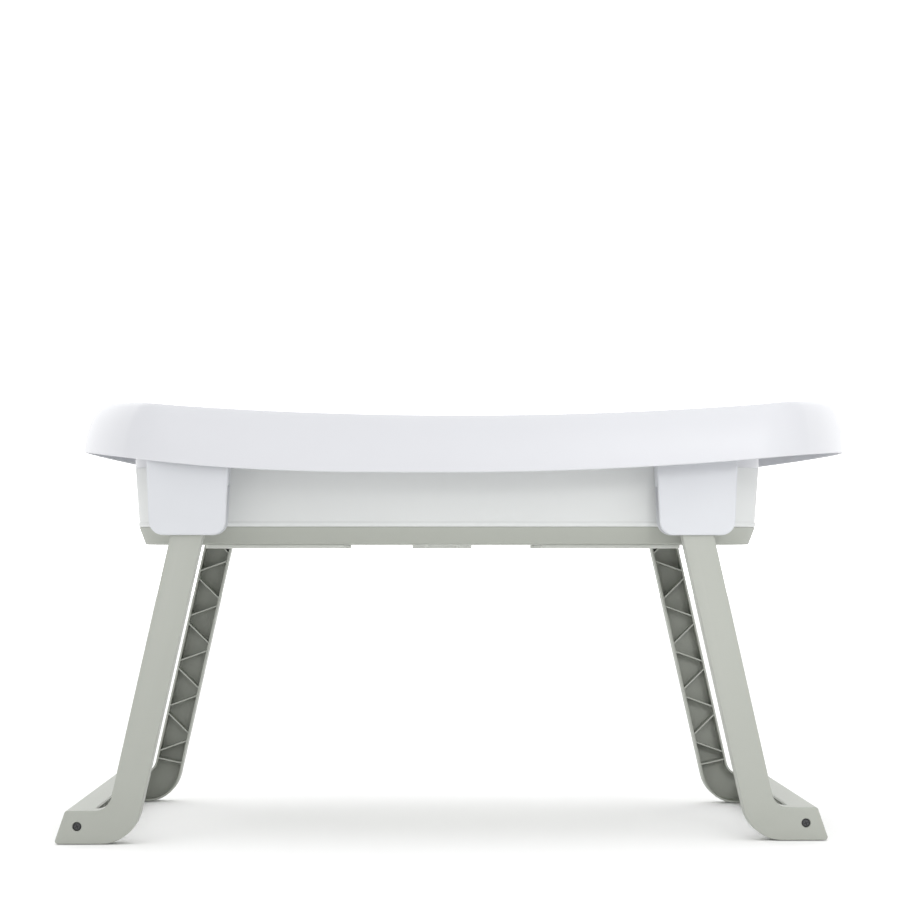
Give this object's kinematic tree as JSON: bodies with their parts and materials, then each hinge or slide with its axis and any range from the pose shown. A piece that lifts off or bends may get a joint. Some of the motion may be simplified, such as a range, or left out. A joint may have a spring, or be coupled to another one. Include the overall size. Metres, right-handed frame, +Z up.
{
  "type": "folding baby bath with stand",
  "caption": "Collapsible bath with a saddle-shaped rim, soft folding wall and hard base, on two leg frames that fold inward under it.",
  "frame": {"origin": "middle of the rim, on the floor that the feet stand on", "axes": "+X along the bath towards the foot end, +Y to the rear, +Z up"},
  "size_m": [0.8359, 0.508, 0.4578],
  "materials": {
    "rim_plastic": "smooth glossy white polypropylene",
    "soft_rubber": "satin light grey elastomer",
    "housing_plastic": "smooth white polypropylene",
    "screw_metal": "black coated steel",
    "pin_steel": "plain steel",
    "base_plastic": "fine matte warm grey",
    "rail_plastic": "fine matte light warm grey",
    "drain_plastic": "smooth white",
    "seal_rubber": "soft dark grey rubber",
    "leg_plastic": "fine matte warm grey"
  },
  "bodies": {
    "tub_rim": {"rim": "rim_plastic", "soft_wall": "soft_rubber", "front_left_housing": "housing_plastic", "front_right_housing": "housing_plastic", "rear_left_housing": "housing_plastic", "rear_right_housing": "housing_plastic", "housing_screws": "screw_metal", "front_left_pivot_pin": "pin_steel", "front_right_pivot_pin": "pin_steel", "rear_left_pivot_pin": "pin_steel", "rear_right_pivot_pin": "pin_steel"},
    "tub_base": {"base_tray": "base_plastic", "base_rails": "rail_plastic", "drain_seat": "drain_plastic", "drain_nut": "rail_plastic"},
    "plug": {"drain_plug": "drain_plastic", "drain_seal": "seal_rubber"},
    "left_frame": {"left_front_leg": "leg_plastic", "left_rear_leg": "leg_plastic", "left_crossbar": "leg_plastic", "left_foot_screws": "screw_metal", "left_foot_pads": "seal_rubber", "left_pivot_washers": "pin_steel"},
    "right_frame": {"right_front_leg": "leg_plastic", "right_rear_leg": "leg_plastic", "right_crossbar": "leg_plastic", "right_foot_screws": "screw_metal", "right_foot_pads": "seal_rubber", "right_pivot_washers": "pin_steel"}
  },
  "joints": [
    {"name": "left_frame_fold", "type": "hinge", "parent": "tub_rim", "child": "left_frame", "pos_m": [-0.2791, 0, 0.345], "axis": [0, -1, 0], "range_deg": [0, 98]},
    {"name": "right_frame_fold", "type": "hinge", "parent": "tub_rim", "child": "right_frame", "pos_m": [0.2313, 0, 0.345], "axis": [0, 1, 0], "range_deg": [0, 98]},
    {"name": "base_collapse", "type": "slide", "parent": "tub_rim", "child": "tub_base", "axis": [0, 0, 1], "range_m": [0, 0.056], "deforming": ["soft_wall"]},
    {"name": "drain_plug_lift", "type": "slide", "parent": "tub_base", "child": "plug", "axis": [0, 0, 1], "range_m": [0, 0.03]}
  ]
}
